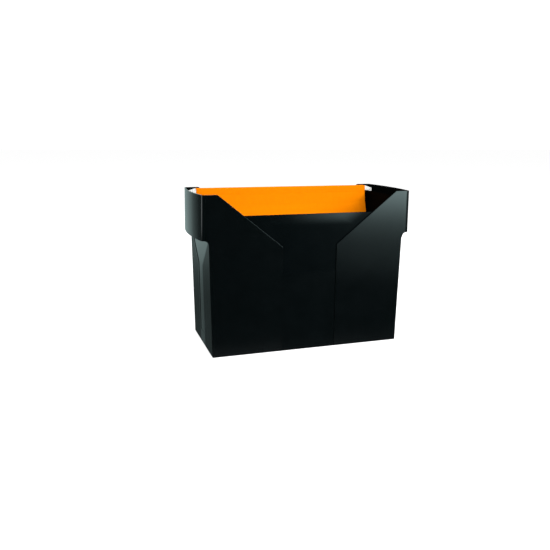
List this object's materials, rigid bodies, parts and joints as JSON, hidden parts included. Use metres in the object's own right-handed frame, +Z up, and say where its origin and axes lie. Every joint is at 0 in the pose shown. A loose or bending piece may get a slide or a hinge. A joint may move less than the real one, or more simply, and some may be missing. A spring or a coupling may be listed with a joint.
{
  "type": "suspension file box",
  "caption": "Open-topped moulded file box with bowed grip bands and inner rails, holding a suspension file on hooked bars.",
  "frame": {"origin": "centre of the base, on the surface that the box stands on", "axes": "+X along the long side, +Y to the back wall beside which the file hangs, +Z up"},
  "size_m": [0.3684, 0.152, 0.26],
  "materials": {
    "box": "gloss moulded",
    "card": "matte card",
    "bar": "plain strip",
    "tip": "satin moulded"
  },
  "bodies": {
    "box": {"box_body": "box"},
    "file": {"file_leaf_back": "card", "bar_back": "bar", "tip_back_left": "tip", "tip_back_right": "tip"},
    "front_bar": {"bar_front": "bar", "tip_front_left": "tip", "tip_front_right": "tip"},
    "front_leaf": {"file_leaf_front": "card"}
  },
  "joints": [
    {"name": "file_lift", "type": "slide", "parent": "box", "child": "file", "axis": [0, 0, 1], "range_m": [0, 0.26]},
    {"name": "front_bar_slide", "type": "slide", "parent": "file", "child": "front_bar", "axis": [0, -1, 0], "range_m": [0, 0.05]},
    {"name": "front_leaf_swing", "type": "hinge", "parent": "front_bar", "child": "front_leaf", "pos_m": [0, 0.0596, 0.2539], "axis": [1, 0, 0], "range_deg": [0, 12.1]}
  ],
  "couplings": [
    {"joint": "front_leaf_swing", "follows": "front_bar_slide", "rad_per_m": 4.22}
  ]
}
